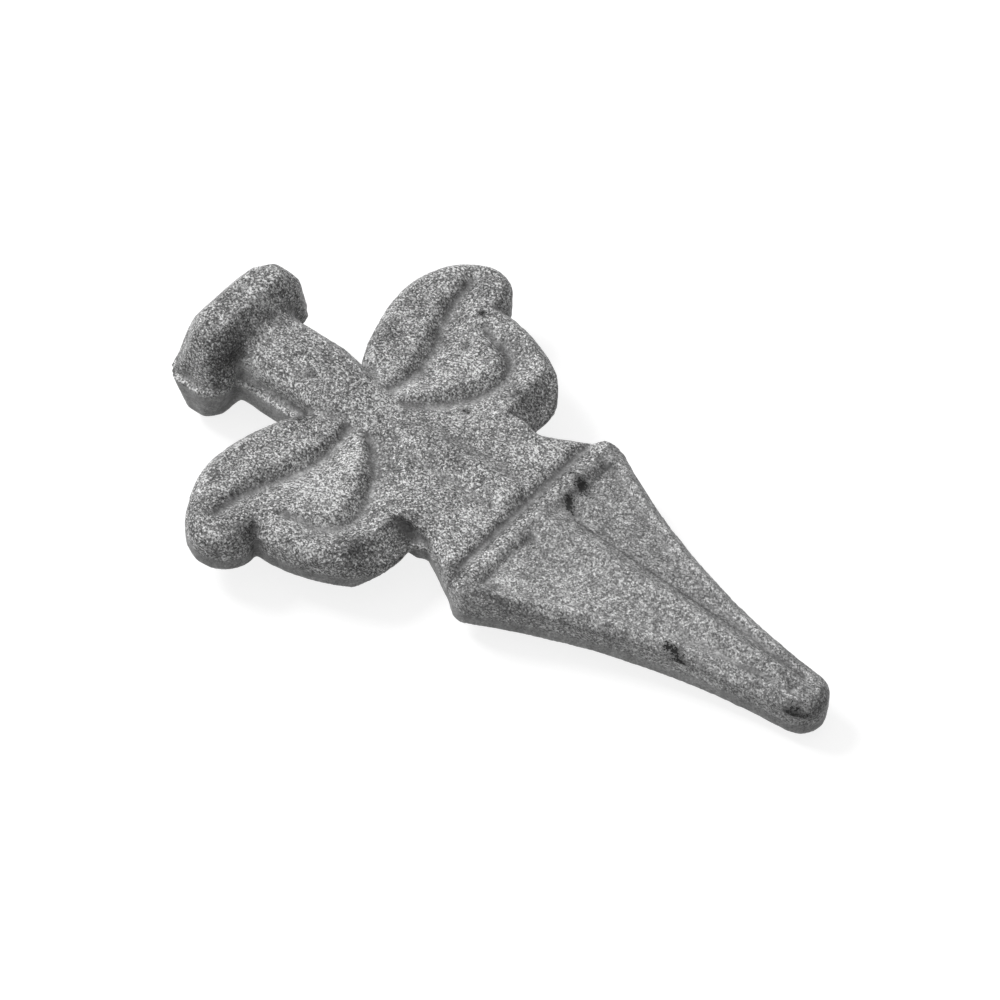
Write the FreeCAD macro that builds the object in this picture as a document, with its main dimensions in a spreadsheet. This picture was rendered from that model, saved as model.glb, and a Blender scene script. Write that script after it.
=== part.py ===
"""Railing spear finial: one forged piece that is welded on top of a fence picket.

The finial lies on its back. X runs from the weld face to the point, Y across the
wings and Z through the thickness, with the die's parting plane at Z = 0. One quarter
is modelled (Y and Z positive), mirrored across and then mirrored down.
All sizes are millimetres.
"""
import FreeCAD, Part
import math
import os
import Sketcher

V = FreeCAD.Vector

# The driving sizes. Each one becomes a cell of the sheet, under its own name.
SIZES = {
    # Hub: a block with wide drafts and cut corners; first its plan at the parting plane
    "hub_length": 13.6,
    "hub_width": 30.0,
    "hub_back_in": 4.4,          # what the corners by the weld face take off the width
    "hub_back_run": 3.9,         # and off the length
    "hub_front_in": 3.0,         # the corners by the neck, in the same way
    "hub_front_run": 2.4,
    "hub_trim": 1.0,             # sawn off the block to make the weld face
    # Its plan at the cheeks, above which the drafts are wider
    "cheek_height": 16.0,
    "cheek_start": 0.6,
    "cheek_length": 12.0,
    "cheek_width": 27.8,
    "cheek_back_in": 7.0,
    "cheek_back_run": 4.6,
    # Its flat top
    "hub_height": 24.0,
    "crest_start": 3.4,
    "crest_length": 5.6,
    "crest_width": 22.4,
    "crest_back_in": 3.0,
    "crest_back_run": 2.2,
    "crest_front_in": 1.8,
    "crest_front_run": 1.2,
    # Neck: a bar with broken edges and a crowned top, between the hub and the wings
    "neck_root_lead": 2.5,       # it swells from the wings' side into the hub
    "neck_root_run": 1.4,
    "neck_root_width": 16.4,
    "neck_root_height": 17.6,
    "neck_length": 16.6,
    "neck_width": 15.0,
    "neck_height": 15.2,
    "neck_crown": 0.5,           # its top is this much higher along the middle
    "neck_edge": 2.2,
    # Blade: wings, stem and spear are one plate with bevelled edges
    "total_length": 150.0,
    "blade_thickness": 10.0,
    "blade_edge": 1.9,
    # Wing outline, each place measured from the one before it
    "belly_back": 6.7,           # the outer leaf's back swells towards the hub
    "belly_out": 19.0,
    "hook_run": 6.9,
    "hook_out": 17.1,
    "notch_run": 11.6,
    "notch_in": 6.4,
    "lobe_top_run": 17.4,
    "lobe_top_in": 5.0,
    "lobe_side_run": 5.6,
    "lobe_side_in": 11.8,
    "waist_run": 4.2,
    "waist_in": 2.8,
    "leaf_back_radius": 44.0,
    "lobe_brow_radius": 34.0,
    # Spear outline, from the waist to the blunt point
    "shoulder_run": 10.3,
    "shoulder_out": 5.9,
    "shoulder_flat": 4.3,
    "nose_length": 4.6,
    "tip_half_width": 5.1,
    # Grooves that divide each wing into its three lobes
    "groove_steep_width": 3.0,   # on the hub's side, where the lobe before it drops away
    "groove_gentle_width": 7.2,  # on the side where the next lobe rises
    "groove_depth": 2.0,
    "groove_start_share": 0.4,   # the grooves begin with this much of their full section
    "groove_end_share": 0.25,    # and run out with this much
    "leaf_root_width": 7.8,      # the outer leaf where it leaves the neck
    "leaf_width": 13.7,          # and across its belly
    "leaf_end_width": 2.6,       # and at the hook
    "leaf_groove_inset": 2.9,    # the grooves start this far inside the neck's side
    "leaf_groove_dip": 3.5,
    "leaf_groove_margin": 3.4,   # left between the groove's end and the hook
    "leaf_groove_radius": 22.0,
    "groove_pitch": 3.6,         # from the leaf groove's start to the lobe groove's
    "inner_lobe_width": 11.2,
    "lobe_groove_radius": 25.3,
    "lobe_groove_reach": 6.0,
    "lobe_groove_drop": 8.0,
    "lobe_groove_margin": 6.4,   # left between the groove's end and the notch
    # The inner lobe falls away towards the waist
    "flank_width": 6.4,
    "flank_rise": 0.7,           # its foot stays this far above the parting plane
    "flank_run": 3.4,
    "flank_margin": 0.9,         # kept between the flank and the waist
    # Stem ridge: the neck runs down into it
    "neck_lead": 1.4,            # the neck keeps its section this far into the wings
    "neck_run": 12.8,
    "neck_run_half_width": 4.2,
    "run_sink": 0.3,             # the run and the ridge start this far below the face
    "stem_gap": 0.4,             # from the end of the run to the tip of the ridge
    "stem_lead": 6.0,            # the ridge's pointed end
    "stem_half_width": 4.9,
    "stem_crest_width": 4.0,
    "stem_rise": 1.0,
    "stem_tip_width": 1.0,
    # Shoulder band: a hollow, then a bead right across the blade
    "hollow_length": 3.6,
    "hollow_floor": 0.6,
    "hollow_depth": 1.3,
    "bead_lead": 1.9,            # the bead starts this far before the shoulder
    "bead_width": 5.0,
    "bead_radius": 3.1,
    # Spear panels, border and rib
    "panel_depth": 0.9,
    "panel_gap": 3.0,            # from the bead to the panel's outer corner
    "panel_border": 4.0,
    "panel_end_gap": 0.9,
    "panel_end_border": 2.4,
    "panel_radius": 150.0,
    "rib_foot": 4.9,
    "rib_crest_width": 0.8,
    "rib_rise": 1.3,
    "rib_end_gap": 2.4,          # the rib starts to run out this far before the nose
    "rib_end_foot": 2.8,
    "rib_end_rise": 0.9,
    "rib_run_out": 3.4,
}


def step(start, along, out):
    """A place reached from another by two signed sizes, such as "+ hook_run"."""
    moved = []
    for base, size in zip(start, (along, out)):
        moved.append(f"{base} {size[0]} Sizes.{size[2:]}" if size else base)
    return tuple(moved)


# Places in plan, each as a pair of expressions for its X and Y
HUB_FOOT = "Sizes.hub_length + Sizes.neck_root_run"
ROOT = (f"{HUB_FOOT} + Sizes.neck_length", "Sizes.neck_width / 2")
BELLY = step(ROOT, "- belly_back", "+ belly_out")
HOOK = step(BELLY, "+ hook_run", "+ hook_out")
NOTCH = step(HOOK, "+ notch_run", "- notch_in")
LOBE_TOP = step(NOTCH, "+ lobe_top_run", "- lobe_top_in")
LOBE_SIDE = step(LOBE_TOP, "+ lobe_side_run", "- lobe_side_in")
WAIST = step(LOBE_SIDE, "+ waist_run", "- waist_in")
SHOULDER = step(WAIST, "+ shoulder_run", "+ shoulder_out")
SPEAR_CORNER = step(SHOULDER, "+ shoulder_flat", None)
POINT = "Sizes.total_length"
TIP = (f"{POINT} - Sizes.nose_length", "Sizes.tip_half_width")
BEAD_START = f"{SHOULDER[0]} - Sizes.bead_lead"
BEAD_END = f"{BEAD_START} + Sizes.bead_width"

# Heights above the parting plane
FACE = "Sizes.blade_thickness / 2"
PANEL_FLOOR = f"{FACE} - Sizes.panel_depth"
HOLLOW_BOTTOM = f"{FACE} - Sizes.hollow_depth"

# The grooves' V is drawn this many times its size, so that it passes through the face
V_OVERSIZE = 1.6

PLANE_ROTATIONS = {
    "XY": FreeCAD.Rotation(),
    "XZ": FreeCAD.Rotation(V(1, 0, 0), 90),
    "YZ": FreeCAD.Rotation(V(1, 1, 1), 120),
}

# An arc that carries on from the edge before it
SMOOTH = "smooth"

# Two heights this close are the same
TOUCH = 1e-3

doc = FreeCAD.newDocument("SpearFinial")


def make_sheet():
    """Write every driving size to the sheet, under an alias of the same name."""
    sheet = doc.addObject("Spreadsheet::Sheet", "Sizes")
    for row, (name, value) in enumerate(SIZES.items(), start=1):
        sheet.set(f"A{row}", name)
        sheet.set(f"B{row}", str(value))
        sheet.setAlias(f"B{row}", name)
    doc.recompute()
    return sheet


def value_of(expression):
    """The number that an expression on the sheet's sizes gives."""
    result = sheet.evalExpression(cell_names(expression))
    return float(getattr(result, "Value", result))


def cell_names(expression):
    """Local aliases as the sheet itself reads them."""
    return expression.replace("Sizes.", "")


def arc_between(start, end, radius, side):
    """Arc of a circle from start to end; side +1 bulges to the left of the way along."""
    chord = end - start
    half = chord.Length / 2
    to_centre = math.sqrt(max(radius ** 2 - half ** 2, 0.0))
    left = V(-chord.y, chord.x, 0).normalize()
    centre = start + chord / 2 - left * (side * to_centre)
    first, last = (end, start) if side > 0 else (start, end)
    angle_first = math.atan2(first.y - centre.y, first.x - centre.x)
    angle_last = math.atan2(last.y - centre.y, last.x - centre.x)
    if angle_last <= angle_first:
        angle_last += 2 * math.pi
    circle = Part.Circle(centre, V(0, 0, 1), radius)
    return Part.ArcOfCircle(circle, angle_first, angle_last)


def pin(sketch, geometry, corner, place):
    """Hold one end of an edge at a place given by two expressions."""
    for kind, axis, expression in (("DistanceX", -2, place[0]), ("DistanceY", -1, place[1])):
        if expression == "0":
            sketch.addConstraint(Sketcher.Constraint("PointOnObject", geometry, corner, axis))
            continue
        held = Sketcher.Constraint(kind, -1, 1, geometry, corner, value_of(expression))
        index = sketch.addConstraint(held)
        sketch.setExpression(f"Constraints[{index}]", expression)


def smooth_arc(start, end, heading):
    """Arc from start to end that leaves along heading, and the side to which it bulges."""
    chord = end - start
    turn = math.atan2(chord.y, chord.x) - math.atan2(heading.y, heading.x)
    turn = (turn + math.pi) % (2 * math.pi) - math.pi
    radius = chord.Length / 2 / abs(math.sin(turn))
    side = -1 if turn > 0 else 1
    return arc_between(start, end, radius, side), side


def heading_at_end(edge, side):
    """Direction of travel where an edge ends; side is 0 for a straight edge."""
    if side == 0:
        return edge.EndPoint - edge.StartPoint
    end = edge.StartPoint if side > 0 else edge.EndPoint
    spoke = end - edge.Center
    return V(spoke.y, -spoke.x, 0) * side


def make_sketch(name, plane, places, arcs=None, closed=True, offset="0"):
    """A chain of lines and arcs through places, each place a pair of expressions.

    arcs maps the number of an edge to its radius and the side to which it bulges, or
    to SMOOTH for an arc that carries on from the edge before it.
    offset moves the sketch along its plane's normal.
    """
    arcs = arcs or {}
    sketch = doc.addObject("Sketcher::SketchObject", name)
    sketch.Placement = FreeCAD.Placement(V(), PLANE_ROTATIONS[plane])
    points = [V(value_of(x), value_of(y), 0) for x, y in places]
    edge_count = len(places) if closed else len(places) - 1
    ends = []
    heading = None
    for number in range(edge_count):
        start, end = points[number], points[(number + 1) % len(points)]
        side = 0
        if number not in arcs:
            edge = Part.LineSegment(start, end)
        elif arcs[number] is SMOOTH:
            edge, side = smooth_arc(start, end, heading)
        else:
            radius, side = arcs[number]
            edge = arc_between(start, end, value_of(radius), side)
        ends.append((2, 1) if side > 0 else (1, 2))
        heading = heading_at_end(edge, side)
        sketch.addGeometry(edge, False)
    for number in range(edge_count):
        start_pos, end_pos = ends[number]
        pin(sketch, number, start_pos, places[number])
        if not closed and number == edge_count - 1:
            pin(sketch, number, end_pos, places[number + 1])
            continue
        following = (number + 1) % edge_count
        kind = "Tangent" if arcs.get(following) is SMOOTH else "Coincident"
        sketch.addConstraint(Sketcher.Constraint(kind, number, end_pos, following, ends[following][0]))
    for number, arc in arcs.items():
        if arc is not SMOOTH:
            index = sketch.addConstraint(Sketcher.Constraint("Radius", number, value_of(arc[0])))
            sketch.setExpression(f"Constraints[{index}]", arc[0])
    if offset != "0":
        axis = {"XY": "z", "XZ": "y", "YZ": "x"}[plane]
        sketch.setExpression(f"Placement.Base.{axis}", offset)
    return sketch


def extrude(name, sketch, length, both_ways=False, reverse=False):
    """Extrude a sketch along its normal by an expression."""
    solid = doc.addObject("Part::Extrusion", name)
    solid.Base = sketch
    solid.DirMode = "Normal"
    solid.Solid = True
    solid.Symmetric = both_ways
    solid.Reversed = reverse
    solid.setExpression("LengthFwd", length)
    return solid


def loft(name, sections):
    """A ruled solid through sections."""
    solid = doc.addObject("Part::Loft", name)
    solid.Sections = sections
    solid.Solid = True
    solid.Ruled = True
    return solid


def combine(kind, name, shapes):
    """Fuse or intersect several solids."""
    result = doc.addObject(kind, name)
    result.Shapes = shapes
    result.Refine = True
    return result


def cut(name, base, tool):
    result = doc.addObject("Part::Cut", name)
    result.Base = base
    result.Tool = tool
    result.Refine = True
    return result


def mirror(name, source, normal):
    result = doc.addObject("Part::Mirroring", name)
    result.Source = source
    result.Base = V()
    result.Normal = normal
    return result


def hub_section(name, back, front, width, back_corner, front_corner, height):
    """Half of the hub's plan at one height: a rectangle with cut corners."""
    return make_sketch(name, "XY", [
        (back, "0"),
        (back, f"{width} / 2 - {back_corner[0]}"),
        (f"{back} + {back_corner[1]}", f"{width} / 2"),
        (f"{front} - {front_corner[1]}", f"{width} / 2"),
        (front, f"{width} / 2 - {front_corner[0]}"),
        (front, "0"),
    ], offset=height)


def make_hub():
    """Collar: a block that narrows upwards on every side, sawn flat at the weld face."""
    front_corner = ("Sizes.hub_front_in", "Sizes.hub_front_run")
    base = hub_section(
        "HubBase", "-Sizes.hub_trim", "Sizes.hub_length", "Sizes.hub_width",
        ("Sizes.hub_back_in", "Sizes.hub_back_run"), front_corner, "0")
    cheeks = hub_section(
        "HubCheeks", "Sizes.cheek_start", "Sizes.cheek_start + Sizes.cheek_length",
        "Sizes.cheek_width", ("Sizes.cheek_back_in", "Sizes.cheek_back_run"),
        front_corner, "Sizes.cheek_height / 2")
    crest = hub_section(
        "HubCrest", "Sizes.crest_start", "Sizes.crest_start + Sizes.crest_length",
        "Sizes.crest_width", ("Sizes.crest_back_in", "Sizes.crest_back_run"),
        ("Sizes.crest_front_in", "Sizes.crest_front_run"), "Sizes.hub_height / 2")
    block = loft("HubBlock", [base, cheeks, crest])
    weld_plane = make_sketch("WeldPlane", "YZ", [
        ("0", "0"),
        ("Sizes.hub_width", "0"),
        ("Sizes.hub_width", "Sizes.hub_height"),
        ("0", "Sizes.hub_height"),
    ])
    kept = extrude("KeptSide", weld_plane, "Sizes.hub_length + Sizes.hub_trim")
    return combine("Part::MultiCommon", "Hub", [block, kept])


def neck_section(name, offset, width="Sizes.neck_width", height="Sizes.neck_height"):
    return make_sketch(name, "YZ", [
        ("0", "0"),
        (f"{width} / 2", "0"),
        (f"{width} / 2", f"{height} / 2 - Sizes.neck_crown - Sizes.neck_edge"),
        (f"{width} / 2 - Sizes.neck_edge", f"{height} / 2 - Sizes.neck_crown"),
        ("0", f"{height} / 2"),
    ], offset=offset)


def ridge_section(name, half_width, crest_width, height, offset):
    """Half of a low flat-topped ridge whose foot lies just under the blade's face."""
    return make_sketch(name, "YZ", [
        ("0", "0"),
        (half_width, "0"),
        (half_width, f"{FACE} - Sizes.run_sink"),
        (f"{crest_width} / 2", height),
        ("0", height),
    ], offset=offset)


def make_neck_and_stem():
    """The bar, its run down into the wings, and the ridge along the stem."""
    neck_end = f"{ROOT[0]} + Sizes.neck_lead"
    run_end = f"{neck_end} + Sizes.neck_run"
    ridge_tip = f"{run_end} + Sizes.stem_gap"
    sunk = f"{FACE} - Sizes.run_sink / 2"
    ridge_top = f"{FACE} + Sizes.stem_rise"
    root_start = "Sizes.hub_length - Sizes.neck_root_lead"
    swollen = neck_section("NeckRoot", root_start, "Sizes.neck_root_width", "Sizes.neck_root_height")
    start = neck_section("NeckStart", HUB_FOOT)
    finish = neck_section("NeckFinish", neck_end)
    foot = ridge_section("RunFoot", "Sizes.neck_run_half_width", "Sizes.stem_crest_width",
                         sunk, run_end)
    tip = ridge_section("StemTip", "Sizes.stem_tip_width", "Sizes.stem_tip_width", sunk, ridge_tip)
    full = ridge_section("StemFull", "Sizes.stem_half_width", "Sizes.stem_crest_width",
                         ridge_top, f"{ridge_tip} + Sizes.stem_lead")
    head = ridge_section("StemHead", "Sizes.stem_half_width", "Sizes.stem_crest_width",
                         ridge_top, BEAD_START)
    bar = loft("Neck", [swollen, start, finish])
    run = loft("NeckRun", [finish, foot])
    ridge = loft("StemRidge", [tip, full, head])
    return [bar, run, ridge]


def make_outline():
    """Half of the blade's outline, from the neck round the wing to the point."""
    return make_sketch("BladeOutline", "XY", [
        (ROOT[0], "0"), ROOT, BELLY, HOOK, NOTCH, LOBE_TOP, LOBE_SIDE, WAIST,
        SHOULDER, SPEAR_CORNER, TIP, (POINT, "0"),
    ], arcs={
        1: ("Sizes.leaf_back_radius", 1),
        2: SMOOTH,
        3: SMOOTH,
        4: ("Sizes.lobe_brow_radius", 1),
        5: SMOOTH,
        6: SMOOTH,
        7: SMOOTH,
        8: SMOOTH,
        9: SMOOTH,
        10: SMOOTH,
    })


def heading_on(path, places, number):
    """A place on a path, and the path's direction of travel there."""
    height = path.Placement.Base.z
    points = [V(value_of(x), value_of(y), height) for x, y in places]
    edge_number = min(number, len(places) - 2)
    chord = points[edge_number + 1] - points[edge_number]
    edge = path.Shape.Edges[edge_number]
    ends = (edge.FirstParameter, edge.LastParameter)
    nearest = min(ends, key=lambda end: edge.valueAt(end).distanceToPoint(points[number]))
    along = edge.tangentAt(nearest)
    return points[number], along if along.dot(chord) > 0 else -along


def groove_section(name, path, places, number, share):
    """The groove's V at one place of its path: steep on the left, gentle on the right."""
    depth = f"Sizes.groove_depth * {share}"
    steep = f"Sizes.groove_steep_width * {share} * {V_OVERSIZE}"
    gentle = f"Sizes.groove_gentle_width * {share} * {V_OVERSIZE}"
    profile = make_sketch(name, "XZ", [
        ("0", f"{depth} * {V_OVERSIZE}"),
        (gentle, "0"),
        (f"{gentle} + {steep}", f"{depth} * {V_OVERSIZE}"),
    ])
    place, along = heading_on(path, places, number)
    left = V(-along.y, along.x, 0).normalize()
    place.z = value_of(f"{FACE} - {depth}")
    turn = FreeCAD.Rotation(left, V(0, 0, 1), left.cross(V(0, 0, 1)))
    profile.Placement = FreeCAD.Placement(place - left * value_of(gentle), turn)
    return profile


def groove(name, places, arcs):
    """A groove along a path on the blade's face, deepest where the path's first edge ends."""
    path = make_sketch(name + "Path", "XY", places, arcs, closed=False,
                       offset=f"{FACE} - Sizes.groove_depth")
    doc.recompute()
    swept = doc.addObject("Part::Sweep", name)
    swept.Sections = [
        groove_section(name + "Start", path, places, 0, "Sizes.groove_start_share"),
        groove_section(name + "Middle", path, places, 1, "1"),
        groove_section(name + "End", path, places, len(places) - 1, "Sizes.groove_end_share"),
    ]
    swept.Spine = (path, [f"Edge{number + 1}" for number in range(len(path.Shape.Edges))])
    swept.Solid = True
    swept.Frenet = False
    swept.Transition = "Right corner"
    return swept


def make_grooves():
    """The two grooves of one wing: behind the outer leaf, and round the middle lobe."""
    leaf_start = step(ROOT, "+ leaf_root_width", "- leaf_groove_inset")
    leaf = groove("LeafGroove", [
        leaf_start,
        step(BELLY, "+ leaf_width", "- leaf_groove_dip"),
        step(HOOK, "+ leaf_end_width", "- leaf_groove_margin"),
    ], arcs={
        0: ("Sizes.leaf_groove_radius", -1),
        1: SMOOTH,
    })
    lobe = groove("LobeGroove", [
        step(leaf_start, "+ groove_pitch", None),
        step(LOBE_SIDE, "- inner_lobe_width", None),
        step(NOTCH, "+ lobe_groove_reach", "- lobe_groove_drop"),
        step(NOTCH, None, "- lobe_groove_margin"),
    ], arcs={
        0: ("Sizes.lobe_groove_radius", -1),
        1: SMOOTH,
        2: SMOOTH,
    })
    return combine("Part::MultiFuse", "Grooves", [leaf, lobe])


def make_flank():
    """What is cut from the inner lobe so that it slopes down towards the waist."""
    inner = f"{LOBE_SIDE[0]} - Sizes.flank_width"
    outer = f"{LOBE_SIDE[0]} + Sizes.flank_run"
    side = make_sketch("FlankSide", "XZ", [
        (inner, FACE),
        (LOBE_SIDE[0], "Sizes.flank_rise"),
        (outer, "Sizes.flank_rise"),
        (outer, "Sizes.blade_thickness"),
        (inner, "Sizes.blade_thickness"),
    ], offset=f"{WAIST[1]} - Sizes.flank_margin")
    return extrude("Flank", side, HOOK[1], reverse=True)


def bevel_top(name, solid, size):
    """Break the outer edges of a solid's top face; the middle plane keeps its edge."""
    doc.recompute()
    top = solid.Shape.BoundBox.ZMax
    edges = []
    for number, edge in enumerate(solid.Shape.Edges, start=1):
        box = edge.BoundBox
        if box.ZMin > top - TOUCH and box.YMax > TOUCH:
            edges.append((number, size, size))
    bevelled = doc.addObject("Part::Chamfer", name)
    bevelled.Base = solid
    bevelled.Edges = edges
    return bevelled


def make_bead(outline):
    """The bead across the shoulder, as wide as the blade is there."""
    side = make_sketch("BeadSide", "XZ", [
        (BEAD_START, "0"),
        (BEAD_START, HOLLOW_BOTTOM),
        (BEAD_END, PANEL_FLOOR),
        (BEAD_END, "0"),
    ], arcs={1: ("Sizes.bead_radius", 1)})
    across = extrude("BeadBlock", side, SHOULDER[1], reverse=True)
    tall_plate = extrude("TallPlate", outline, "Sizes.blade_thickness")
    return combine("Part::MultiCommon", "Bead", [across, tall_plate])


def make_hollow():
    """The hollow between the stem and the bead."""
    above = f"{FACE} + Sizes.stem_rise"
    side = make_sketch("HollowSide", "XZ", [
        (f"{BEAD_START} - Sizes.hollow_length", above),
        (f"{BEAD_START} - Sizes.hollow_floor", HOLLOW_BOTTOM),
        (BEAD_START, HOLLOW_BOTTOM),
        (BEAD_START, above),
    ])
    return extrude("Hollow", side, HOOK[1], reverse=True)


def make_panel():
    """The sunk triangular panel between the bead, the rib and the border."""
    corner = (f"{BEAD_END} + Sizes.panel_gap", f"{SPEAR_CORNER[1]} - Sizes.panel_border")
    end = step(TIP, "- panel_end_gap", "- panel_end_border")
    plan = make_sketch("PanelPlan", "XY", [
        (BEAD_START, "0"),
        (BEAD_START, HOOK[1]),
        (BEAD_END, HOOK[1]),
        (BEAD_END, corner[1]),
        corner,
        end,
        (end[0], "0"),
    ], arcs={4: ("Sizes.panel_radius", -1)}, offset=PANEL_FLOOR)
    return extrude("Panel", plan, "Sizes.blade_thickness")


def rib_section(name, foot, height, offset):
    return make_sketch(name, "YZ", [
        ("0", "0"),
        (foot, "0"),
        (foot, PANEL_FLOOR),
        ("Sizes.rib_crest_width / 2", height),
        ("0", height),
    ], offset=offset)


def make_rib():
    """The rib along the spear, a low roof that gets lower and narrower to the point."""
    middle_of_bead = f"({BEAD_START} + {BEAD_END}) / 2"
    rib_end = f"{TIP[0]} - Sizes.rib_end_gap"
    return loft("Rib", [
        rib_section("RibStart", "Sizes.rib_foot", f"{FACE} + Sizes.rib_rise", middle_of_bead),
        rib_section("RibEnd", "Sizes.rib_end_foot", f"{FACE} + Sizes.rib_end_rise", rib_end),
        rib_section("RibNose", "Sizes.rib_crest_width", FACE, f"{rib_end} + Sizes.rib_run_out"),
    ])


def make_blade():
    """A quarter of the blade: bevelled plate, grooves, neck and stem, hollow, panels."""
    outline = make_outline()
    plate = extrude("Plate", outline, FACE)
    bevelled = bevel_top("BevelledPlate", plate, value_of("Sizes.blade_edge"))
    doc.recompute()
    flanked = cut("FlankedPlate", bevelled, make_flank())
    lobed = cut("LobedPlate", flanked, make_grooves())
    stemmed = combine("Part::MultiFuse", "StemmedPlate", [lobed] + make_neck_and_stem())
    hollowed = cut("HollowedPlate", stemmed, make_hollow())
    panelled = cut("PanelledPlate", hollowed, make_panel())
    return combine("Part::MultiFuse", "Blade", [panelled, make_bead(outline), make_rib()])


def make_finial():
    """The whole forging, from one quarter mirrored across and then down."""
    quarter = combine("Part::MultiFuse", "Quarter", [make_blade(), make_hub()])
    upper = combine("Part::MultiFuse", "UpperHalf", [quarter, mirror("Across", quarter, V(0, 1, 0))])
    finial = combine("Part::MultiFuse", "Finial", [upper, mirror("LowerHalf", upper, V(0, 0, 1))])
    finial.Label = "spear_finial"
    finial.Placement = FreeCAD.Placement()
    return finial


def check_document():
    """Stop before anything is written if a feature failed or left a bad shape."""
    for item in doc.Objects:
        if {"Invalid", "Error"} & set(item.State):
            raise RuntimeError(f"{item.Name} failed: {item.State}")
        shape = getattr(item, "Shape", None)
        if shape is not None and (shape.isNull() or not shape.isValid()):
            raise RuntimeError(f"{item.Name} has a bad shape")


sheet = make_sheet()
finial = make_finial()
doc.recompute()
check_document()
if len(finial.Shape.Solids) != 1:
    raise RuntimeError("the finial is not one solid")
os.makedirs("parts", exist_ok=True)
finial.Shape.exportStep(f"parts/{finial.Label}.step")
print(finial.Label, round(finial.Shape.Volume), finial.Shape.BoundBox)
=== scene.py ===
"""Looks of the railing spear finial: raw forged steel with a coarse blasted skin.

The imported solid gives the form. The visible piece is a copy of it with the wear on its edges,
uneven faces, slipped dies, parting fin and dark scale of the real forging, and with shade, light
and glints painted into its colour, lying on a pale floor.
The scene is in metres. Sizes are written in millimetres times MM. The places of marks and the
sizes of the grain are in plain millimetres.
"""
import bmesh
import bpy
import math
from mathutils import Matrix, Vector, noise


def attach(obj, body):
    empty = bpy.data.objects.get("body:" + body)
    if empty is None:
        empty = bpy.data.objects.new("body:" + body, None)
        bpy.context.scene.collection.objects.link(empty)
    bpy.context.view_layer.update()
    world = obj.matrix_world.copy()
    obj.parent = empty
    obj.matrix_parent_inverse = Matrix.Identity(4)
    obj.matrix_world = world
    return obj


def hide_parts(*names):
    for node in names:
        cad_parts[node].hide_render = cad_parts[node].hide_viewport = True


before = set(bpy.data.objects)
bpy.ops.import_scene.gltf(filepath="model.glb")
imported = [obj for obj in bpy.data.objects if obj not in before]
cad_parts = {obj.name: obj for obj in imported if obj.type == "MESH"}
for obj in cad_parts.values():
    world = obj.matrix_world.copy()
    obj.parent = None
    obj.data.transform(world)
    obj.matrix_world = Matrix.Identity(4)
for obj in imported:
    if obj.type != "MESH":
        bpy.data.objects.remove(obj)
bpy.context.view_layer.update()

MM = 0.001

# Camera, fitted to the photograph, with angles in degrees
CAMERA_AZIMUTH = 36.72
CAMERA_ELEVATION = 51.12
CAMERA_ROLL = 2.67
CAMERA_DISTANCE = 792.3 * MM
CAMERA_TARGET = Vector((75 * MM, 0, 0))
CAMERA_REACH = 10.0
FOCAL_PIXELS = 4126.6
IMAGE_PIXELS = 1000
SENSOR_WIDTH = 36.0
CENTRE_SHIFT_PIXELS = (7.5, 12.6)

# The skin of small faces that all wear is worked into
VOXEL = 0.47 * MM
MESH_WELD = 0.001 * MM

# The upper half of hub and neck stands to one side of the lower, by twice this slip
DIE_SLIP = 0.75 * MM
SLIP_END = 33.0 * MM
SLIP_FADE = 6.0 * MM

# Wear: passes of smoothing, and how far along the finial they reach
SMOOTH_FACTOR = 0.5
HUB_SOFT_PASSES = 10
HUB_SOFT_END = 15.0 * MM
HUB_SOFT_FADE = 3.0 * MM
WING_SOFT_PASSES = 1
WING_SOFT_END = 77.0 * MM
WING_SOFT_FADE = 5.0 * MM
EDGE_WEAR_PASSES = 1
LAST_WEAR_PASSES = 1

# Ragged fin at the parting line, and the low line where it was trimmed off
FLASH_END = 31.0 * MM
FLASH_FADE = 3.0 * MM
FLASH_RISE = 0.6 * MM
FLASH_REACH = 0.7 * MM
FLASH_WAVE = 1.1 * MM
FLASH_WAVE_START = Vector((3.1, 7.7, 1.9))
FLASH_EVEN_SHARE = 0.6
TRIMMED_RISE = 0.12 * MM

# A side's normal leans sideways by more than this share, and a steep face's up or down by less
SIDE_SLOPE = 0.6
SIDE_FADE = 0.3

# Uneven skin: size and depth of each kind of unevenness, about the middle value of its noise
NOISE_MIDDLE = 0.5
SWELL = (9.0 * MM, 0.30 * MM)
LUMPS = (2.2 * MM, 0.15 * MM)
GRIT = (0.9 * MM, 0.07 * MM)

# A full hollow lies this deep below the skin smoothed by so many passes
HOLLOW_PASSES = 30
HOLLOW_DEPTH = 0.40 * MM

# Grooves and crests of wings and blade that the wear rounded are cut again
HOLLOW_CUT = 0.4 * MM
CREST_SHARE = 0.5
CUT_STRETCHES = ((20.0 * MM, 73.0 * MM), (85.0 * MM, 148.0 * MM))
CUT_FADE = 3.0 * MM

# Edges are rubbed bright; hollows get painted shade on slopes that lean towards the point, away
# from the lamp
EDGE_BRIGHT = 0.15
HOLLOW_PAINTED_SHADE = 0.48
SHADED_SLOPE = (-0.25, 0.4)

# The grain is fainter in hollows, on the lower half's sides and, by a share, on the blade
HOLLOW_SMOOTH = 1.7
LOWER_FADE = 1.0 * MM
BLADE_SMOOTH = 0.4
BLADE_START = 82.0 * MM

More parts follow.
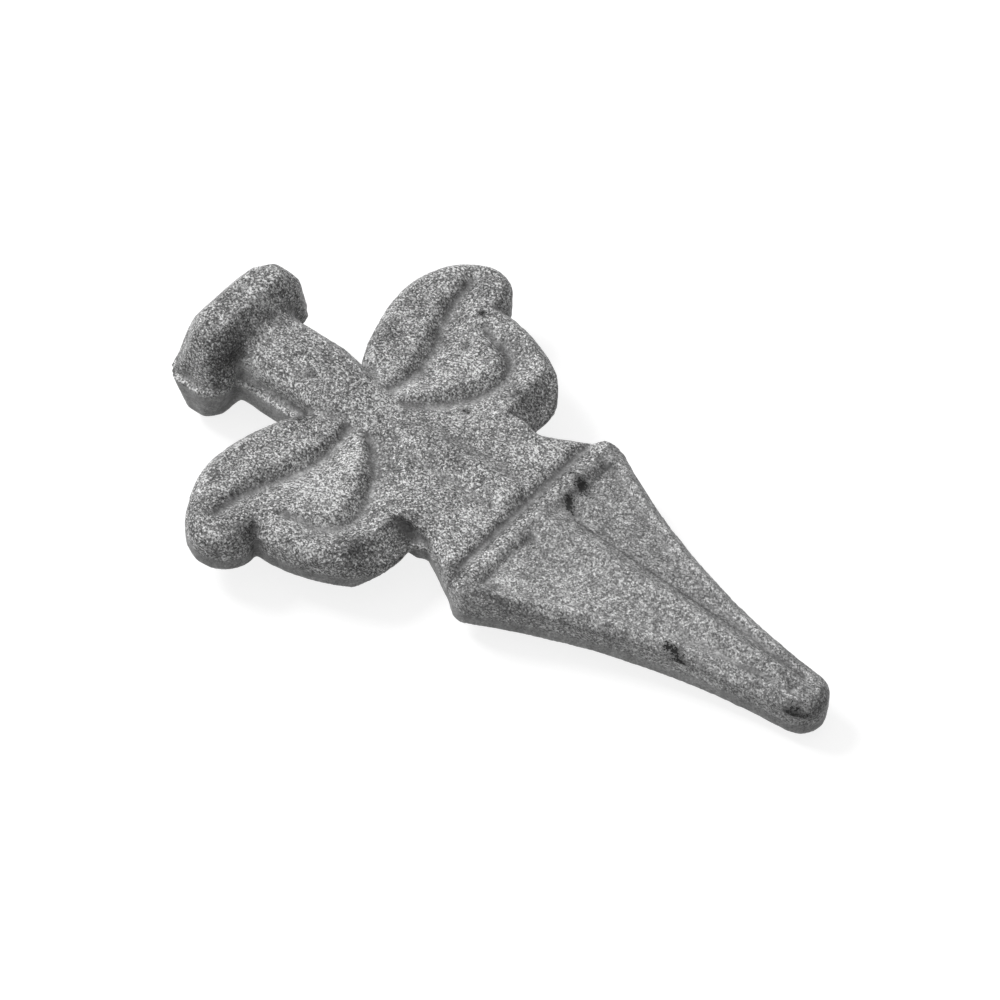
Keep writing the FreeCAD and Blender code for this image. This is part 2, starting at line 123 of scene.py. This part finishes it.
# Dark flakes of scale on the top, in millimetres: from x, y, to x, y, half width
FLAKES = (
    (82.6, 12.2, 84.6, 10.9, 0.7),
    (84.4, 10.9, 86.2, 11.1, 0.2),
    (80.4, 12.5, 82.4, 12.7, 0.1),
    (84.0, 7.4, 85.4, 5.9, 0.6),
    (85.4, 5.9, 87.0, 5.2, 0.1),
    (119.8, -8.6, 122.4, -8.3, 0.2),
    (122.4, -8.3, 125.0, -9.1, 0.4),
    (125.0, -9.1, 126.4, -9.4, 0.0),
    (145.4, -5.1, 148.6, -4.6, 0.5),
    (27.4, -2.8, 27.8, -2.8, 0.3),
    (41.9, 33.2, 42.1, 33.0, 0.35),
    (44.3, 24.8, 44.9, 24.6, 0.3),
    (54.3, 11.9, 54.8, 11.9, 0.3),
    (59.4, 21.3, 59.9, 21.6, 0.4),
    (40.8, -46.4, 42.1, -45.4, 0.6),
)

# Flakes and the lines of painted shade lie only on the top, above this height
TOP_START = 2.0 * MM

# How far outside a flake a place is taken to lie at most, in millimetres
FLAKE_FAR = 2.0

# Soft lines of painted shade along creases on the top, in millimetres: from x, y, to x, y, half
# width, and light taken
PAINTED_SHADE_LINES = (
    (88.0, 3.9, 106.0, 3.4, 0.6, 0.65),
    (106.0, 3.4, 127.0, 2.9, 0.6, 0.60),
    (85.2, 21.0, 84.7, 17.7, 0.8, 0.55),
    (84.7, 17.7, 84.9, 12.0, 1.2, 0.65),
    (82.9, -20.5, 83.4, -11.3, 1.0, 0.15),
    (84.7, -21.2, 90.5, -20.0, 1.6, 0.45),
    (90.5, -20.0, 100.5, -15.8, 1.2, 0.30),
    (100.5, -15.8, 116.7, -10.1, 1.0, 0.30),
    (116.7, -10.1, 132.0, -6.8, 0.9, 0.15),
    (79.6, -12.0, 79.6, 18.0, 1.7, 0.40),
    (130.0, 1.9, 143.0, -1.2, 0.4, 0.45),
    (144.8, -5.4, 149.0, -4.6, 1.6, 0.45),
    (149.0, -4.6, 149.8, -0.5, 1.2, 0.45),
    (46.0, 3.6, 52.0, 5.0, 0.9, 0.15),
    (52.0, 5.0, 68.0, 5.0, 0.9, 0.18),
    (50.0, -1.6, 68.0, -2.0, 0.8, 0.15),
)

# Soft spots of painted shade, in millimetres: centre, radius, and how much light they take
PAINTED_SHADE_SPOTS = (
    ((11.3, -5.5, 9.0), 4.5, 0.60),
    ((11.5, -9.0, 7.0), 5.5, 0.80),
    ((10.5, -11.5, 4.5), 4.5, 0.50),
    ((12.6, -10.5, -5.5), 4.0, 0.45),
    ((4.0, -1.0, 12.0), 6.5, 0.45),
    ((6.0, -11.0, 9.5), 7.0, 0.30),
    ((2.0, -13.5, 2.0), 6.0, 0.35),
    ((27.5, 1.0, 7.5), 9.0, 0.30),
    ((31.8, -10.8, 4.7), 4.5, 0.75),
    ((31.5, -41.0, 4.3), 7.5, 0.45),
    ((41.0, -38.5, 4.7), 6.0, 0.70),
    ((39.0, -35.3, 1.0), 6.0, 0.50),
    ((40.5, -46.5, 1.0), 4.0, 0.40),
    ((60.0, -28.3, 4.6), 7.5, 0.65),
    ((60.5, -16.5, 1.0), 6.5, 0.60),
    ((64.5, -17.0, 4.8), 4.5, 0.50),
    ((52.5, -9.0, 3.8), 7.0, 0.45),
    ((60.0, 1.0, 6.0), 9.0, 0.25),
    ((29.5, 26.5, 5.0), 6.0, 0.30),
    ((31.0, 16.5, 5.0), 6.5, 0.50),
    ((38.0, 30.5, 4.0), 6.0, 0.35),
    ((36.0, 37.2, 4.5), 4.5, 0.40),
    ((40.2, 24.2, 3.5), 4.5, 0.40),
    ((48.0, -4.5, 4.3), 4.5, 0.40),
    ((50.0, 1.0, 5.5), 4.5, 0.35),
    ((53.0, 29.5, 4.0), 6.5, 0.40),
    ((62.0, 23.0, 2.8), 7.5, 0.45),
    ((78.7, -21.0, 4.2), 5.0, 0.75),
    ((140.0, 3.8, 4.8), 7.0, 0.35),
    ((149.0, -3.5, 1.5), 3.5, 0.30),
)

# Soft spots of painted light, in millimetres: centre, radius, and how much light they add
PAINTED_LIGHT_SPOTS = (
    ((9.3, 3.0, 11.9), 4.5, 0.45),
    ((10.0, -14.3, 4.5), 4.0, 0.40),
    ((15.5, -7.3, 2.8), 5.5, 1.40),
    ((23.0, -8.0, 0.0), 8.0, 0.40),
    ((35.2, 26.7, 4.2), 4.0, 0.50),
    ((39.3, 7.5, 4.5), 6.5, 0.55),
    ((42.0, 1.0, 4.8), 7.5, 0.35),
    ((48.5, 9.0, 3.5), 4.5, 0.45),
    ((39.5, -20.5, 3.0), 5.5, 0.35),
    ((46.5, -21.0, 5.0), 10.0, 0.45),
    ((47.0, -11.0, 4.9), 5.0, 0.65),
    ((47.5, -30.5, 4.2), 5.0, 0.35),
    ((53.5, -26.0, 3.6), 6.5, 0.50),
    ((52.8, -35.5, 3.3), 4.0, 0.45),
    ((50.5, 20.0, 4.5), 8.0, 0.30),
    ((54.5, 12.0, 4.0), 6.0, 0.35),
    ((75.5, -0.5, 5.5), 6.5, 0.30),
    ((72.0, 11.5, 5.0), 5.0, 0.35),
    ((84.0, 4.0, 4.8), 4.0, 0.30),
    ((83.5, -13.0, 4.8), 6.0, 0.35),
    ((88.5, -16.0, 4.1), 6.0, 0.30),
    ((73.3, -8.0, 5.0), 4.5, 0.45),
    ((97.0, -7.0, 4.2), 14.0, 0.22),
    ((114.0, -3.0, 4.2), 11.0, 0.15),
    ((103.0, -14.5, 1.0), 14.0, 0.25),
    ((116.0, -11.0, 2.0), 8.0, 0.25),
    ((126.0, -8.5, 1.5), 14.0, 0.35),
)

# Sky, dimmer towards the point's end; a background of white strength shows white
SKY_BRIGHT = 0.52
SKY_DIM = 0.05
SKY_DIM_SIDE = Vector((1.0, 0.2, -0.15))
SKY_FADE = (-0.2, 0.7)
WHITE = (1, 1, 1, 1)
WHITE_STRENGTH = 1.0

# Soft lamp over the hub's end
LAMP_POWER = 38.0
LAMP_SIDE = Vector((-0.68, -0.10, 0.72))
LAMP_DISTANCE = 2.4
LAMP_SIZE = 0.8

# Floor, and how far along the finial the hub's lower edge rests on it
FLOOR_COLOUR = (0.3, 0.3, 0.3, 1)
FLOOR_ROUGHNESS = 0.9
FLOOR_LIFT = 0.82
FLOOR_HALF_SIZE = 2.0
HUB_REST_X = 9.0 * MM

# Bare steel
METAL_COLOUR = (0.265, 0.265, 0.265)
BRIGHTEST_GRAIN = (0.85, 0.85, 0.85)
SCALE_COLOUR = (0.022, 0.022, 0.022, 1)
METALLIC = 0.1
SPECULAR_LEVEL = 0.3
BARE_ROUGHNESS = 0.55
SCALE_ROUGHNESS = 0.8

# Blasted grain with painted glints: soft noise and single grains, each of its own shade, over a
# slow mottle
GRAIN_SIZE = 0.38
GRAIN_DETAIL = 2.0
GRAIN_CONTRAST = 7.0
SMOOTH_SKIN_CONTRAST = 1.8
BLUR_SHARE = 0.7
SALT_SHARE = 0.3
SALT_FINENESS = 1.2
MOTTLE_SIZE = 2.2
MOTTLE_DETAIL = 1.0
MOTTLE_CONTRAST = 1.2
NOISE_ROUGHNESS = 0.65
BUMP_STRENGTH = 0.6
BUMP_HEIGHT = 0.12 * MM

# How far grain and mottle fray the flakes, and how wide their edge is, in millimetres
FLAKE_RAGGED = 4.5
FLAKE_BROKEN = 3.5
FLAKE_EDGE = 0.2

# Sockets of a Mix node, where each kind has its own two values and result under shared names
MIX_SHARE = 0
NUMBER_MIX = (2, 3)
NUMBER_RESULT = 0
COLOUR_MIX = (6, 7)
COLOUR_RESULT = 2


def socket(group, name, kind, direction, value=None):
    """Add one socket to a shader node group."""
    made = group.interface.new_socket(name=name, socket_type=kind, in_out=direction)
    if value is not None:
        made.default_value = value


def node(tree, kind, **values):
    """Add a shader node with some of its settings."""
    made = tree.nodes.new(kind)
    for name, value in values.items():
        setattr(made, name, value)
    return made


def link(tree, start, end):
    """Feed one shader socket from another."""
    tree.links.new(start, end)


def mesh_object(name, mesh):
    """Place a mesh in the scene, at the origin."""
    made = bpy.data.objects.new(name, mesh)
    bpy.context.scene.collection.objects.link(made)
    return made


def apply_modifiers(piece):
    """Turn a piece's modifiers into its own mesh."""
    graph = bpy.context.evaluated_depsgraph_get()
    mesh = bpy.data.meshes.new_from_object(piece.evaluated_get(graph))
    piece.modifiers.clear()
    piece.data = mesh


def welded_copy(name, source):
    """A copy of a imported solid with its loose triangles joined."""
    bm = bmesh.new()
    bm.from_mesh(source.data)
    bmesh.ops.remove_doubles(bm, verts=bm.verts, dist=MESH_WELD)
    mesh = bpy.data.meshes.new(name)
    bm.to_mesh(mesh)
    bm.free()
    return mesh_object(name, mesh)


def held(share):
    """A share held between 0 and 1."""
    return min(1.0, max(0.0, share))


def eased(share):
    """A share held between 0 and 1, with soft ends."""
    share = held(share)
    return share * share * (3 - 2 * share)


def fade_out(place, end, run):
    """1 before a place, falling to 0 over the run that ends there."""
    return held((end - place) / run)


def reskin(piece):
    """Give a piece an even skin of small faces."""
    remesh = piece.modifiers.new("skin", "REMESH")
    remesh.mode = "VOXEL"
    remesh.voxel_size = VOXEL
    remesh.use_smooth_shade = True
    apply_modifiers(piece)


def soften(piece, name, passes, end=None, run=None):
    """Wear a piece round, all over or only up to some place along it."""
    smooth = piece.modifiers.new(name, "SMOOTH")
    smooth.factor = SMOOTH_FACTOR
    smooth.iterations = passes
    if end is not None:
        group = piece.vertex_groups.new(name=name)
        for vert in piece.data.vertices:
            group.add([vert.index], fade_out(vert.co.x, end, run), "REPLACE")
        smooth.vertex_group = group.name
    apply_modifiers(piece)


def roughen(piece, name, unevenness):
    """Push the surface in and out by a soft procedural noise."""
    size, depth = unevenness
    texture = bpy.data.textures.new(name, "CLOUDS")
    texture.noise_scale = size
    displace = piece.modifiers.new(name, "DISPLACE")
    displace.texture = texture
    displace.texture_coords = "LOCAL"
    displace.strength = depth
    displace.mid_level = NOISE_MIDDLE


def slip_dies(piece):
    """Over hub and neck the upper half stands a little to one side of the lower."""
    for vert in piece.data.vertices:
        share = fade_out(vert.co.x, SLIP_END, SLIP_FADE)
        vert.co.y += math.copysign(DIE_SLIP, vert.co.z) * share


def raise_flash(piece):
    """The ragged fin between the dies, left on hub and neck and trimmed off elsewhere."""
    bm = bmesh.new()
    bm.from_mesh(piece.data)
    bm.normal_update()
    moves = []
    for vert in bm.verts:
        fall = 1 - abs(vert.co.z) / FLASH_REACH
        sideways = Vector((vert.normal.x, vert.normal.y, 0))
        if fall > 0 and sideways.length > SIDE_SLOPE and vert.normal.x > -SIDE_SLOPE:
            ragged = FLASH_EVEN_SHARE + noise.noise(vert.co / FLASH_WAVE + FLASH_WAVE_START)
            share = fade_out(vert.co.x, FLASH_END, FLASH_FADE)
            rise = TRIMMED_RISE + (FLASH_RISE - TRIMMED_RISE) * share
            moves.append((vert, sideways.normalized() * rise * fall * max(0.0, ragged)))
    for vert, move in moves:
        vert.co += move
    bm.to_mesh(piece.data)
    bm.free()


def distance_to_line(place, line):
    """Distance in millimetres, seen from above, from a place to a line from x, y to x, y."""
    start = Vector(line[:2])
    run = Vector(line[2:]) - start
    spot = Vector((place.x, place.y)) / MM - start
    along = held(spot.dot(run) / run.length_squared)
    return (spot - run * along).length


def flake_reach(place):
    """How far inside the nearest dark flake a place on the top lies, in millimetres."""
    reach = -FLAKE_FAR
    if place.z > TOP_START:
        for *line, half_width in FLAKES:
            reach = max(reach, half_width - distance_to_line(place, line))
    return reach


def near_spot(place, centre, radius):
    """1 at the centre of a round spot, given in millimetres, falling softly to 0 at its rim."""
    return eased(1 - (place / MM - Vector(centre)).length / radius)


def painted_light_and_shade(place):
    """How the painted shade of spots and lines and the painted light of spots change the shade at a
    place, 1 where there are none.
    """
    shade = 1.0
    for centre, radius, strength in PAINTED_SHADE_SPOTS:
        shade *= 1 - strength * near_spot(place, centre, radius)
    for centre, radius, strength in PAINTED_LIGHT_SPOTS:
        shade *= 1 + strength * near_spot(place, centre, radius)
    if place.z > TOP_START:
        for *line, half_width, strength in PAINTED_SHADE_LINES:
            near = 1 - distance_to_line(place, line) / half_width
            shade *= 1 - strength * eased(near)
    return shade


def hollow_depths(piece):
    """How far each vertex lies below its surroundings, as a share of a full hollow.

    Vertices on edges and crests lie above them, so their share is negative.
    """
    bm = bmesh.new()
    bm.from_mesh(piece.data)
    bm.normal_update()
    places = [(vert.co.copy(), vert.normal.copy()) for vert in bm.verts]
    for _ in range(HOLLOW_PASSES):
        bmesh.ops.smooth_vert(
            bm, verts=bm.verts, factor=SMOOTH_FACTOR,
            use_axis_x=True, use_axis_y=True, use_axis_z=True)
    depths = [
        max(-1.0, min(1.0, (vert.co - place).dot(normal) / HOLLOW_DEPTH))
        for vert, (place, normal) in zip(bm.verts, places)]
    bm.free()
    return depths


def cut_hollows(piece, hollows):
    """On wings and blade, sink the hollows and raise the crests, so that they are crisp again."""
    moves = []
    for vert, hollow in zip(piece.data.vertices, hollows):
        share = sum(
            fade_out(vert.co.x, end, CUT_FADE) - fade_out(vert.co.x, start, CUT_FADE)
            for start, end in CUT_STRETCHES)
        depth = hollow if hollow > 0 else CREST_SHARE * hollow
        moves.append(vert.normal * depth * share * HOLLOW_CUT)
    for vert, move in zip(piece.data.vertices, moves):
        vert.co -= move


def mark_skin(piece, hollows):
    """Store on each vertex what the finish reads: its wear with painted light and shade, flakes and
    smooth skin.
    """
    mesh = piece.data
    names = ("wear_and_painted_light", "flake_reach", "smooth_skin")
    painted_and_worn, flakes, smooth = (mesh.attributes.new(name, "FLOAT", "POINT") for name in names)
    # Hollows on slopes that lean towards the point, away from the lamp, get painted shade; edges
    # are rubbed lighter
    shaded_start, shaded_end = SHADED_SLOPE
    for vert, hollow in zip(mesh.vertices, hollows):
        shaded_share = held((vert.normal.x - shaded_start) / (shaded_end - shaded_start))
        shade = 1 - HOLLOW_PAINTED_SHADE * hollow * shaded_share if hollow > 0 else 1 - EDGE_BRIGHT * hollow
        painted_and_worn.data[vert.index].value = shade * painted_light_and_shade(vert.co)
        flakes.data[vert.index].value = flake_reach(vert.co)
        steep = held((SIDE_SLOPE - abs(vert.normal.z)) / SIDE_FADE)
        lower = held(-vert.co.z / LOWER_FADE)
        blade = BLADE_SMOOTH if vert.co.x > BLADE_START else 0.0
        smooth.data[vert.index].value = max(steep * lower, held(HOLLOW_SMOOTH * hollow), blade)


def make_finial():
    """The visible forging: the solid's form with its wear, slip, fin and uneven skin."""
    piece = welded_copy("forged_finial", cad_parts["spear_finial"])
    reskin(piece)
    soften(piece, "rounded_hub", HUB_SOFT_PASSES, HUB_SOFT_END, HUB_SOFT_FADE)
    soften(piece, "rounded_wings", WING_SOFT_PASSES, WING_SOFT_END, WING_SOFT_FADE)
    soften(piece, "worn_edges", EDGE_WEAR_PASSES)
    slip_dies(piece)
    reskin(piece)
    raise_flash(piece)
    hollows = hollow_depths(piece)
    cut_hollows(piece, hollows)
    soften(piece, "last_wear", LAST_WEAR_PASSES)
    roughen(piece, "swell", SWELL)
    roughen(piece, "lumps", LUMPS)
    roughen(piece, "grit", GRIT)
    apply_modifiers(piece)
    piece.vertex_groups.clear()
    mark_skin(piece, hollows)
    for polygon in piece.data.polygons:
        polygon.use_smooth = True
    return piece


def calculate(tree, operation, *values):
    """A Math node; each value is a number or the socket that feeds it."""
    made = node(tree, "ShaderNodeMath", operation=operation)
    for place, value in enumerate(values):
        if isinstance(value, (int, float)):
            made.inputs[place].default_value = value
        else:
            link(tree, value, made.inputs[place])
    return made.outputs[0]


def ramp(tree, value, low, high, start, end, **settings):
    """A value mapped from one range to another and held at its ends."""
    made = node(tree, "ShaderNodeMapRange", **settings)
    link(tree, value, made.inputs["Value"])
    made.inputs["From Min"].default_value = low
    made.inputs["From Max"].default_value = high
    made.inputs["To Min"].default_value = start
    made.inputs["To Max"].default_value = end
    return made.outputs[0]


def stored(tree, name):
    """A value that mark_skin left on the mesh."""
    return node(tree, "ShaderNodeAttribute", attribute_name=name).outputs["Fac"]


def place_on_piece(group):
    """Where on its piece a point of the surface lies."""
    return node(group, "ShaderNodeTexCoord").outputs["Object"]


def soft_noise(group, size, detail):
    """Noise of a size in millimetres."""
    made = node(group, "ShaderNodeTexNoise")
    made.inputs["Detail"].default_value = detail
    made.inputs["Roughness"].default_value = NOISE_ROUGHNESS
    link(group, place_on_piece(group), made.inputs["Vector"])
    link(group, calculate(group, "DIVIDE", 1 / MM, size), made.inputs["Scale"])
    return made.outputs["Fac"]


def random_cells(group, size):
    """Single grains, each of its own shade, of a size in millimetres."""
    cells = node(group, "ShaderNodeTexVoronoi")
    link(group, place_on_piece(group), cells.inputs["Vector"])
    link(group, calculate(group, "DIVIDE", SALT_FINENESS / MM, size), cells.inputs["Scale"])
    channels = node(group, "ShaderNodeSeparateColor")
    link(group, cells.outputs["Color"], channels.inputs[0])
    return calculate(group, "MULTIPLY", channels.outputs[0], SALT_SHARE)


def make_grain_and_glints_group():
    """Light and dark grains over a slow mottle, the brightest painted in as glints: gives a shade
    around 1, and both noises.
    """
    group = bpy.data.node_groups.new("grain_and_painted_glints", "ShaderNodeTree")
    socket(group, "Grain size", "NodeSocketFloat", "INPUT", GRAIN_SIZE)
    socket(group, "Grain contrast", "NodeSocketFloat", "INPUT", GRAIN_CONTRAST)
    socket(group, "Mottle size", "NodeSocketFloat", "INPUT", MOTTLE_SIZE)
    socket(group, "Mottle contrast", "NodeSocketFloat", "INPUT", MOTTLE_CONTRAST)
    socket(group, "Shade", "NodeSocketFloat", "OUTPUT")
    socket(group, "Height", "NodeSocketFloat", "OUTPUT")
    socket(group, "Mottle", "NodeSocketFloat", "OUTPUT")
    start = node(group, "NodeGroupInput")
    end = node(group, "NodeGroupOutput")
    blur = soft_noise(group, start.outputs["Grain size"], GRAIN_DETAIL)
    salt = random_cells(group, start.outputs["Grain size"])
    grain = calculate(group, "ADD", calculate(group, "MULTIPLY", blur, BLUR_SHARE), salt)
    mottle = soft_noise(group, start.outputs["Mottle size"], MOTTLE_DETAIL)
    fine = calculate(group, "SUBTRACT", grain, NOISE_MIDDLE)
    slow = calculate(group, "SUBTRACT", mottle, NOISE_MIDDLE)
    power = calculate(group, "MULTIPLY", slow, start.outputs["Mottle contrast"])
    power = calculate(group, "MULTIPLY_ADD", fine, start.outputs["Grain contrast"], power)
    # The exponent stretches the bright grains into painted glints
    link(group, calculate(group, "EXPONENT", power), end.inputs["Shade"])
    link(group, grain, end.inputs["Height"])
    link(group, mottle, end.inputs["Mottle"])
    return group


def make_steel():
    """Bare forged steel, blasted, with dark scale in flakes, painted shade and light, and painted
    glints in the grain.
    """
    material = bpy.data.materials.new("forged_steel")
    material.use_nodes = True
    tree = material.node_tree
    shader = tree.nodes["Principled BSDF"]
    shader.inputs["Metallic"].default_value = METALLIC
    shader.inputs["Specular IOR Level"].default_value = SPECULAR_LEVEL
    grain = node(tree, "ShaderNodeGroup", node_tree=make_grain_and_glints_group())
    grain.inputs["Grain size"].default_value = GRAIN_SIZE
    grain.inputs["Mottle size"].default_value = MOTTLE_SIZE
    grain.inputs["Mottle contrast"].default_value = MOTTLE_CONTRAST
    contrast = ramp(tree, stored(tree, "smooth_skin"), 0, 1, GRAIN_CONTRAST, SMOOTH_SKIN_CONTRAST)
    link(tree, contrast, grain.inputs["Grain contrast"])
    bare = node(tree, "ShaderNodeVectorMath", operation="SCALE")
    bare.inputs[0].default_value = METAL_COLOUR
    # The grain's shade with its painted glints, times the wear and the painted light and shade
    # stored on the mesh
    shade = calculate(tree, "MULTIPLY", grain.outputs["Shade"], stored(tree, "wear_and_painted_light"))
    link(tree, shade, bare.inputs["Scale"])
    limit = node(tree, "ShaderNodeVectorMath", operation="MINIMUM")
    limit.inputs[1].default_value = BRIGHTEST_GRAIN
    link(tree, bare.outputs[0], limit.inputs[0])
    ragged = calculate(tree, "SUBTRACT", grain.outputs["Height"], NOISE_MIDDLE)
    broken = calculate(tree, "SUBTRACT", grain.outputs["Mottle"], NOISE_MIDDLE)
    edge = calculate(tree, "MULTIPLY_ADD", ragged, FLAKE_RAGGED, stored(tree, "flake_reach"))
    edge = calculate(tree, "MULTIPLY_ADD", broken, FLAKE_BROKEN, edge)
    flake = ramp(tree, edge, -FLAKE_EDGE, FLAKE_EDGE, 0, 1)
    surface = node(tree, "ShaderNodeMix", data_type="RGBA")
    clean_steel, dark_scale = (surface.inputs[place] for place in COLOUR_MIX)
    dark_scale.default_value = SCALE_COLOUR
    link(tree, limit.outputs[0], clean_steel)
    link(tree, flake, surface.inputs[MIX_SHARE])
    link(tree, surface.outputs[COLOUR_RESULT], shader.inputs["Base Color"])
    link(tree, ramp(tree, flake, 0, 1, BARE_ROUGHNESS, SCALE_ROUGHNESS), shader.inputs["Roughness"])
    bump = node(tree, "ShaderNodeBump")
    bump.inputs["Strength"].default_value = BUMP_STRENGTH
    bump.inputs["Distance"].default_value = BUMP_HEIGHT
    link(tree, grain.outputs["Height"], bump.inputs["Height"])
    link(tree, bump.outputs["Normal"], shader.inputs["Normal"])
    return material


def background_rays(tree):
    """1 for what the camera, a mirror or glass sees of the background, else 0."""
    rays = node(tree, "ShaderNodeLightPath")
    seen = rays.outputs["Is Camera Ray"]
    for kind in ("Is Glossy Ray", "Is Transmission Ray"):
        seen = calculate(tree, "MAXIMUM", seen, rays.outputs[kind])
    return seen


def floor_material():
    """Pale floor; what is seen of it is lifted to white, with its shadow left."""
    material = bpy.data.materials.new("pale_floor")
    material.use_nodes = True
    tree = material.node_tree
    shader = tree.nodes["Principled BSDF"]
    shader.inputs["Base Color"].default_value = FLOOR_COLOUR
    shader.inputs["Roughness"].default_value = FLOOR_ROUGHNESS
    shader.inputs["Emission Color"].default_value = WHITE
    lift = calculate(tree, "MULTIPLY", background_rays(tree), FLOOR_LIFT)
    link(tree, lift, shader.inputs["Emission Strength"])
    return material


def make_floor(piece):
    """A wide floor on which a piece lies, with the lower edge of its hub and with its blade."""
    places = [vert.co for vert in piece.data.vertices]
    hub_rest = Vector((HUB_REST_X, 0, min(place.z for place in places)))
    slope = min(
        math.atan2(place.z - hub_rest.z, place.x - hub_rest.x)
        for place in places if place.x > BLADE_START)
    bm = bmesh.new()
    bmesh.ops.create_grid(bm, x_segments=1, y_segments=1, size=FLOOR_HALF_SIZE)
    bmesh.ops.rotate(bm, verts=bm.verts, cent=(0, 0, 0), matrix=Matrix.Rotation(-slope, 3, "Y"))
    bmesh.ops.translate(bm, verts=bm.verts, vec=hub_rest)
    mesh = bpy.data.meshes.new("floor")
    bm.to_mesh(mesh)
    bm.free()
    floor = mesh_object("floor", mesh)
    floor.data.materials.append(floor_material())


def make_sky():
    """Soft light from everywhere but the point's end; what is seen of it is white."""
    world = bpy.data.worlds.new("studio")
    world.use_nodes = True
    tree = world.node_tree
    back = tree.nodes["Background"]
    back.inputs["Color"].default_value = WHITE
    direction = node(tree, "ShaderNodeTexCoord")
    toward = node(tree, "ShaderNodeVectorMath", operation="DOT_PRODUCT")
    toward.inputs[1].default_value = SKY_DIM_SIDE.normalized()
    link(tree, direction.outputs["Generated"], toward.inputs[0])
    fade = ramp(
        tree, toward.outputs["Value"], *SKY_FADE, SKY_BRIGHT, SKY_DIM,
        interpolation_type="SMOOTHSTEP")
    level = node(tree, "ShaderNodeMix", data_type="FLOAT")
    sky_light, seen_light = (level.inputs[place] for place in NUMBER_MIX)
    seen_light.default_value = WHITE_STRENGTH
    link(tree, fade, sky_light)
    link(tree, background_rays(tree), level.inputs[MIX_SHARE])
    link(tree, level.outputs[NUMBER_RESULT], back.inputs["Strength"])
    bpy.context.scene.world = world


def make_lamp():
    """A square soft lamp over the hub's end, aimed at the middle of the finial."""
    lamp = bpy.data.lights.new("soft_lamp", "AREA")
    lamp.size = LAMP_SIZE
    lamp.energy = LAMP_POWER
    made = bpy.data.objects.new("soft_lamp", lamp)
    away = LAMP_SIDE.normalized() * LAMP_DISTANCE
    made.location = CAMERA_TARGET + away
    made.rotation_euler = away.to_track_quat("Z", "Y").to_euler()
    bpy.context.scene.collection.objects.link(made)


def make_camera():
    """A camera where the photograph's stood, with the same turn, roll and field of view."""
    azimuth = math.radians(CAMERA_AZIMUTH)
    elevation = math.radians(CAMERA_ELEVATION)
    back = Vector((
        math.sin(azimuth) * math.cos(elevation),
        -math.cos(azimuth) * math.cos(elevation),
        math.sin(elevation),
    ))
    right = Vector((math.cos(azimuth), math.sin(azimuth), 0))
    up = back.cross(right)
    roll = math.radians(CAMERA_ROLL)
    rolled_right = right * math.cos(roll) + up * math.sin(roll)
    rolled_up = up * math.cos(roll) - right * math.sin(roll)
    camera = bpy.data.cameras.new("camera")
    camera.sensor_width = SENSOR_WIDTH
    camera.lens = FOCAL_PIXELS / IMAGE_PIXELS * SENSOR_WIDTH
    camera.shift_x = -CENTRE_SHIFT_PIXELS[0] / IMAGE_PIXELS
    camera.shift_y = CENTRE_SHIFT_PIXELS[1] / IMAGE_PIXELS
    camera.clip_end = CAMERA_REACH
    made = bpy.data.objects.new("camera", camera)
    turn = Matrix((rolled_right, rolled_up, back)).transposed()
    made.matrix_world = Matrix.Translation(CAMERA_TARGET + back * CAMERA_DISTANCE) @ turn.to_4x4()
    bpy.context.scene.collection.objects.link(made)
    bpy.context.scene.camera = made


finial = make_finial()
finial.data.materials.append(make_steel())
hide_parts("spear_finial")
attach(finial, "root")
make_floor(finial)
make_sky()
make_lamp()
make_camera()
bpy.context.scene.view_settings.view_transform = "Standard"
